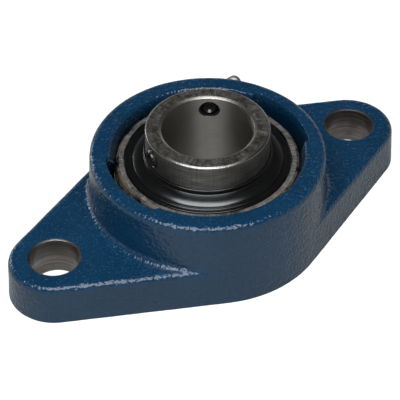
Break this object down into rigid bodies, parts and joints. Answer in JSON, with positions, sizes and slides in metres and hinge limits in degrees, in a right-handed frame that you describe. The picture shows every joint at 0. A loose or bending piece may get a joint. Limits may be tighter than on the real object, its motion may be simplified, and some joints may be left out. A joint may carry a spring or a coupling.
{
  "type": "two-bolt flange bearing",
  "caption": "Oval cast flange housing with a self-aligning sealed ball bearing insert, locked on its shaft by radial set screws and greased through a nipple.",
  "frame": {"origin": "centre of the bolt pattern on the mounting face, on the shaft axis", "axes": "+X along the line of the two bolt holes, +Z along the shaft from the mounting face towards the protruding end of the inner ring"},
  "size_m": [0.148, 0.08, 0.0402],
  "materials": {
    "painted_casting": "gloss enamel over a cast skin",
    "ground_steel": "ground",
    "polished_steel": "polished",
    "cage_steel": "pressed",
    "carrier_steel": "pressed",
    "seal_rubber": "matt",
    "flinger_black": "gloss",
    "screw_black": "black oxide",
    "plated_steel": "zinc plated"
  },
  "bodies": {
    "housing": {"housing": "painted_casting", "nipple_body": "plated_steel", "nipple_spring": "plated_steel"},
    "outer_ring": {"outer_ring": "ground_steel", "seal_front_carrier": "carrier_steel", "seal_front_lip": "seal_rubber", "seal_back_carrier": "carrier_steel", "seal_back_lip": "seal_rubber"},
    "inner_ring": {"inner_ring": "ground_steel", "flinger_front": "flinger_black", "flinger_back": "flinger_black"},
    "cage": {"cage_front": "cage_steel", "cage_back": "cage_steel", "cage_rivets": "cage_steel"},
    "ball_1": {"ball_1": "polished_steel"},
    "ball_2": {"ball_2": "polished_steel"},
    "ball_3": {"ball_3": "polished_steel"},
    "ball_4": {"ball_4": "polished_steel"},
    "ball_5": {"ball_5": "polished_steel"},
    "ball_6": {"ball_6": "polished_steel"},
    "ball_7": {"ball_7": "polished_steel"},
    "ball_8": {"ball_8": "polished_steel"},
    "ball_9": {"ball_9": "polished_steel"},
    "set_screw_1": {"set_screw_1": "screw_black"},
    "set_screw_2": {"set_screw_2": "screw_black"},
    "nipple_ball": {"nipple_ball": "polished_steel"}
  },
  "joints": [
    {"name": "insert_tilt", "type": "hinge", "parent": "housing", "child": "outer_ring", "pos_m": [0, 0, 0.018], "axis": [1, 0, 0], "range_deg": [-5, 5]},
    {"name": "shaft_spin", "type": "hinge", "parent": "outer_ring", "child": "inner_ring", "pos_m": [0, 0, 0.018], "axis": [0, 0, 1], "continuous": true},
    {"name": "cage_spin", "type": "hinge", "parent": "outer_ring", "child": "cage", "pos_m": [0, 0, 0.018], "axis": [0, 0, 1], "continuous": true},
    {"name": "ball_1_spin", "type": "hinge", "parent": "cage", "child": "ball_1", "pos_m": [0.023, 0, 0.018], "axis": [0, 0, 1], "continuous": true},
    {"name": "ball_2_spin", "type": "hinge", "parent": "cage", "child": "ball_2", "pos_m": [0.01762, 0.01478, 0.018], "axis": [0, 0, 1], "continuous": true},
    {"name": "ball_3_spin", "type": "hinge", "parent": "cage", "child": "ball_3", "pos_m": [0.00399, 0.02265, 0.018], "axis": [0, 0, 1], "continuous": true},
    {"name": "ball_4_spin", "type": "hinge", "parent": "cage", "child": "ball_4", "pos_m": [-0.0115, 0.01992, 0.018], "axis": [0, 0, 1], "continuous": true},
    {"name": "ball_5_spin", "type": "hinge", "parent": "cage", "child": "ball_5", "pos_m": [-0.02161, 0.00787, 0.018], "axis": [0, 0, 1], "continuous": true},
    {"name": "ball_6_spin", "type": "hinge", "parent": "cage", "child": "ball_6", "pos_m": [-0.02161, -0.00787, 0.018], "axis": [0, 0, 1], "continuous": true},
    {"name": "ball_7_spin", "type": "hinge", "parent": "cage", "child": "ball_7", "pos_m": [-0.0115, -0.01992, 0.018], "axis": [0, 0, 1], "continuous": true},
    {"name": "ball_8_spin", "type": "hinge", "parent": "cage", "child": "ball_8", "pos_m": [0.00399, -0.02265, 0.018], "axis": [0, 0, 1], "continuous": true},
    {"name": "ball_9_spin", "type": "hinge", "parent": "cage", "child": "ball_9", "pos_m": [0.01762, -0.01478, 0.018], "axis": [0, 0, 1], "continuous": true},
    {"name": "set_screw_1_travel", "type": "slide", "parent": "inner_ring", "child": "set_screw_1", "axis": [0.5878, 0.809, 0], "range_m": [-0.0015, 0.003]},
    {"name": "set_screw_2_travel", "type": "slide", "parent": "inner_ring", "child": "set_screw_2", "axis": [-0.9945, 0.1045, 0], "range_m": [-0.0015, 0.003]},
    {"name": "nipple_valve", "type": "slide", "parent": "housing", "child": "nipple_ball", "axis": [-0.7071, -0.7071, 0], "range_m": [0, 0.0008], "stiffness_N_per_m": 300, "springref_m": -0.001, "deforming": ["nipple_spring"]}
  ],
  "couplings": [
    {"joint": "cage_spin", "follows": "shaft_spin", "ratio": 0.39647},
    {"joint": "ball_1_spin", "follows": "shaft_spin", "ratio": -2.3112},
    {"joint": "ball_2_spin", "follows": "shaft_spin", "ratio": -2.3112},
    {"joint": "ball_3_spin", "follows": "shaft_spin", "ratio": -2.3112},
    {"joint": "ball_4_spin", "follows": "shaft_spin", "ratio": -2.3112},
    {"joint": "ball_5_spin", "follows": "shaft_spin", "ratio": -2.3112},
    {"joint": "ball_6_spin", "follows": "shaft_spin", "ratio": -2.3112},
    {"joint": "ball_7_spin", "follows": "shaft_spin", "ratio": -2.3112},
    {"joint": "ball_8_spin", "follows": "shaft_spin", "ratio": -2.3112},
    {"joint": "ball_9_spin", "follows": "shaft_spin", "ratio": -2.3112}
  ]
}
